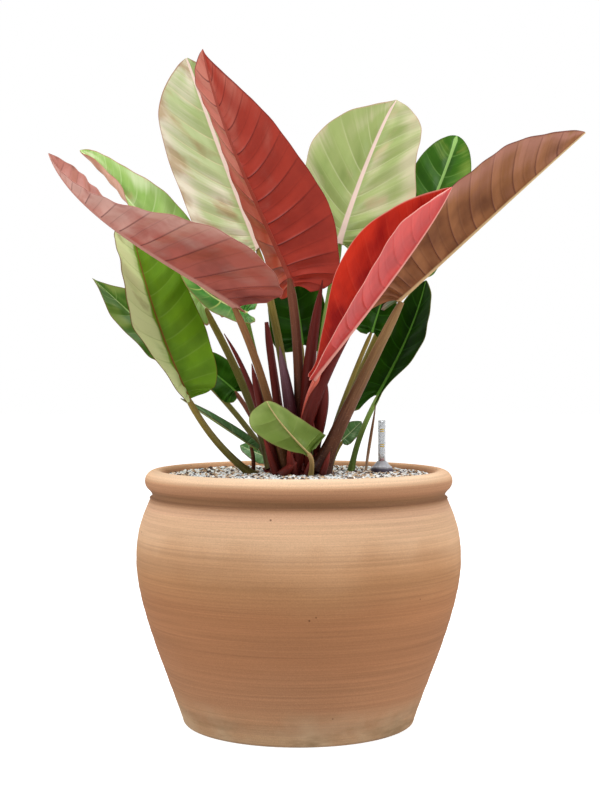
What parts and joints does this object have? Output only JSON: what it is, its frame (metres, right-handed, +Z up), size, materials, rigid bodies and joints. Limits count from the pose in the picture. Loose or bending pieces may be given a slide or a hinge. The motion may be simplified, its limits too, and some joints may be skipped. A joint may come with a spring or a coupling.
{
  "type": "potted philodendron",
  "caption": "Tufted philodendron with green, bronze and red leaves in a round terracotta pot of mineral granulate, with a clear-tube water gauge whose float slides up and down.",
  "frame": {"origin": "centre of the pot's foot, on the surface that it stands on", "axes": "+Z up along the pot's axis; the plant's front looks along -Y; +X to the right seen from the front"},
  "size_m": [0.5948, 0.3786, 0.7995],
  "materials": {
    "terracotta": "unglazed fired clay, matt and slightly rough",
    "granulate": "loose mineral grains, white, grey, beige and dark brown",
    "crown_bark": "rough reddish bark",
    "clear_plastic": "clear and glossy",
    "dark_plastic": "moulded, satin",
    "float_red": "satin",
    "red_underside": "living leaf, red underside, satin",
    "cream_green": "living leaf, cream green, satin",
    "rose_underside": "living leaf, rose-brown underside, satin",
    "light_green": "living leaf, light green, waxy",
    "green": "living leaf, green, waxy",
    "dark_green": "living leaf, dark green, waxy",
    "pale_green": "living leaf, pale green, satin",
    "bronze_underside": "living leaf, bronze underside, satin",
    "scarlet": "young living leaf, scarlet, glossy",
    "olive_green": "living leaf, olive green, waxy",
    "grey_green": "living leaf, grey green, waxy",
    "stalk_brown": "living stalk, red-brown, smooth",
    "stalk_olive": "living stalk, olive brown, smooth",
    "stalk_green": "living stalk, green, smooth",
    "stalk_coral": "living stalk, coral red, smooth",
    "sheath_dark_red": "fleshy sheath, dark red, satin",
    "sheath_brown": "withered sheath, brown, dry"
  },
  "bodies": {
    "planter": {"pot": "terracotta", "granulate": "granulate", "crown": "crown_bark", "gauge_tube": "clear_plastic", "gauge_collar": "dark_plastic", "gauge_cone": "clear_plastic", "blade_tall_red": "red_underside", "blade_back_left_cream": "cream_green", "blade_left_rose": "rose_underside", "blade_left_light_green": "light_green", "blade_left_big_green": "green", "blade_far_left_dark": "dark_green", "blade_left_inner_green": "green", "blade_back_right_pale": "pale_green", "blade_far_right_green": "green", "blade_right_bronze": "bronze_underside", "blade_new_scarlet": "scarlet", "blade_right_low_dark": "dark_green", "blade_front_small_olive": "olive_green", "blade_left_low_dark": "dark_green", "blade_centre_back_dark": "dark_green", "blade_right_inner_dark": "dark_green", "blade_right_small_grey": "grey_green", "blade_left_narrow_folded": "grey_green", "blade_left_low_grey": "grey_green", "stalk_tall_red": "stalk_brown", "stalk_back_left_cream": "stalk_olive", "stalk_left_rose": "stalk_brown", "stalk_left_light_green": "stalk_green", "stalk_left_big_green": "stalk_olive", "stalk_far_left_dark": "stalk_olive", "stalk_left_inner_green": "stalk_green", "stalk_back_right_pale": "stalk_green", "stalk_far_right_green": "stalk_olive", "stalk_right_bronze": "stalk_brown", "stalk_new_scarlet": "stalk_coral", "stalk_right_low_dark": "stalk_green", "stalk_front_small_olive": "stalk_olive", "stalk_left_low_dark": "stalk_brown", "stalk_centre_back_dark": "stalk_olive", "stalk_right_inner_dark": "stalk_olive", "stalk_right_small_grey": "stalk_olive", "stalk_left_narrow_folded": "stalk_brown", "stalk_left_low_grey": "stalk_brown", "sheath_tall": "sheath_dark_red", "sheath_right": "sheath_dark_red", "sheath_purple": "sheath_dark_red", "sheath_brown": "sheath_brown", "sheath_left_thin": "sheath_dark_red", "sheath_left": "sheath_dark_red", "sheath_front": "sheath_dark_red", "sheath_dry": "sheath_brown"},
    "float": {"gauge_float": "float_red"}
  },
  "joints": [
    {"name": "float_slide", "type": "slide", "parent": "planter", "child": "float", "axis": [0, 0, 1], "range_m": [0, 0.034]}
  ]
}
